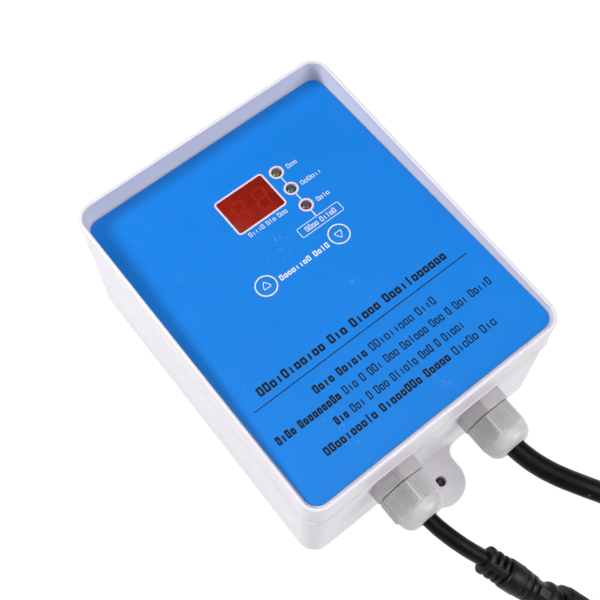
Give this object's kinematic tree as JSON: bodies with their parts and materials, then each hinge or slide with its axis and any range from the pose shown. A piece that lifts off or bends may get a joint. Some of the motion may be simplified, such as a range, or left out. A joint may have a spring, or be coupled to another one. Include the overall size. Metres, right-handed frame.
{
  "type": "salt chlorine generator",
  "caption": "Wall-hung spa salt chlorine generator control box with display, two keys, status lamps, two cable glands, a cell lead with connector and a coiled mains lead.",
  "frame": {"origin": "centre of the flat back face of the rear case", "axes": "+Z out of the back face towards the keypad, +Y towards the display end, -Y the way the leads leave"},
  "size_m": [0.1601, 0.3624, 0.07],
  "materials": {
    "case_plastic": "satin",
    "keypad_film": "fine matte",
    "display_lens": "gloss",
    "display_body": "matte",
    "lamp_low": "gloss",
    "lamp_normal": "gloss",
    "lamp_high": "gloss",
    "gland_nylon": "satin",
    "seal_rubber": "matte",
    "lead_jacket": "satin",
    "connector_plastic": "satin",
    "contact_insert": "matte",
    "blade_brass": "polished",
    "tie_plastic": "satin",
    "screw_steel": "zinc plated",
    "board_laminate": "solder mask",
    "chip_resin": "matte",
    "transformer_wrap": "satin",
    "relay_case": "satin",
    "capacitor_sleeve": "gloss",
    "heat_sink_metal": "extruded",
    "terminal_plastic": "satin",
    "ribbon_vinyl": "satin"
  },
  "bodies": {
    "root": {"rear_case": "case_plastic", "front_cover": "case_plastic", "cover_seal": "seal_rubber", "cover_screw_1": "screw_steel", "cover_screw_2": "screw_steel", "cover_screw_3": "screw_steel", "cover_screw_4": "screw_steel", "keypad_overlay": "keypad_film", "display_window": "display_lens", "display_module": "display_body", "switch_up": "chip_resin", "switch_down": "chip_resin", "led_low": "lamp_low", "led_normal": "lamp_normal", "led_high": "lamp_high", "display_board": "board_laminate", "display_board_screw_1": "screw_steel", "display_board_screw_2": "screw_steel", "microcontroller": "chip_resin", "power_board": "board_laminate", "power_board_screw_1": "screw_steel", "power_board_screw_2": "screw_steel", "power_board_screw_3": "screw_steel", "power_board_screw_4": "screw_steel", "power_transformer": "transformer_wrap", "relay_forward": "relay_case", "relay_reverse": "relay_case", "capacitor_input": "capacitor_sleeve", "capacitor_output": "capacitor_sleeve", "heat_sink": "heat_sink_metal", "bridge_rectifier": "chip_resin", "fuse_holder": "chip_resin", "cell_terminal_block": "terminal_plastic", "power_terminal_block": "terminal_plastic", "ribbon_cable": "ribbon_vinyl", "gland_body_cell": "gland_nylon", "gland_washer_cell": "seal_rubber", "gland_locknut_cell": "gland_nylon", "gland_body_power": "gland_nylon", "gland_washer_power": "seal_rubber", "gland_locknut_power": "gland_nylon", "cell_lead_tail": "lead_jacket", "power_lead_tail": "lead_jacket", "cell_lead": "lead_jacket", "cell_connector": "connector_plastic", "connector_contacts": "contact_insert", "power_lead": "lead_jacket", "power_lead_coil": "lead_jacket", "lead_tie": "tie_plastic", "power_lead_end": "lead_jacket", "power_plug": "connector_plastic", "plug_blade_1": "blade_brass", "plug_blade_2": "blade_brass"},
    "up_key": {"button_up": "keypad_film"},
    "down_key": {"button_down": "keypad_film"},
    "cell_gland_seal": {"gland_insert_cell": "seal_rubber"},
    "cell_gland_nut": {"gland_nut_cell": "gland_nylon"},
    "power_gland_seal": {"gland_insert_power": "seal_rubber"},
    "power_gland_nut": {"gland_nut_power": "gland_nylon"},
    "coupling_ring": {"connector_ring": "connector_plastic"}
  },
  "joints": [
    {"name": "up_key_press", "type": "slide", "parent": "root", "child": "up_key", "axis": [0, -0.0592, -0.9982], "range_m": [0, 0.0005], "stiffness_N_per_m": 3000},
    {"name": "down_key_press", "type": "slide", "parent": "root", "child": "down_key", "axis": [0, -0.0592, -0.9982], "range_m": [0, 0.0005], "stiffness_N_per_m": 3000},
    {"name": "cell_seal_slide", "type": "slide", "parent": "root", "child": "cell_gland_seal", "axis": [0, -1, 0], "range_m": [0, 0.003]},
    {"name": "cell_nut_turn", "type": "hinge", "parent": "cell_gland_seal", "child": "cell_gland_nut", "pos_m": [-0.021, -0.085, 0.0395], "axis": [0, -1, 0], "range_deg": [0, 720]},
    {"name": "power_seal_slide", "type": "slide", "parent": "root", "child": "power_gland_seal", "axis": [0, -1, 0], "range_m": [0, 0.003]},
    {"name": "power_nut_turn", "type": "hinge", "parent": "power_gland_seal", "child": "power_gland_nut", "pos_m": [0.021, -0.085, 0.0395], "axis": [0, -1, 0], "range_deg": [0, 720]},
    {"name": "coupling_ring_turn", "type": "hinge", "parent": "root", "child": "coupling_ring", "pos_m": [-0.0134, -0.1151, 0.0326], "axis": [0.366, -0.814, -0.451], "continuous": true}
  ],
  "couplings": [
    {"joint": "cell_seal_slide", "follows": "cell_nut_turn", "m_per_rad": 0.00023873},
    {"joint": "power_seal_slide", "follows": "power_nut_turn", "m_per_rad": 0.00023873}
  ]
}
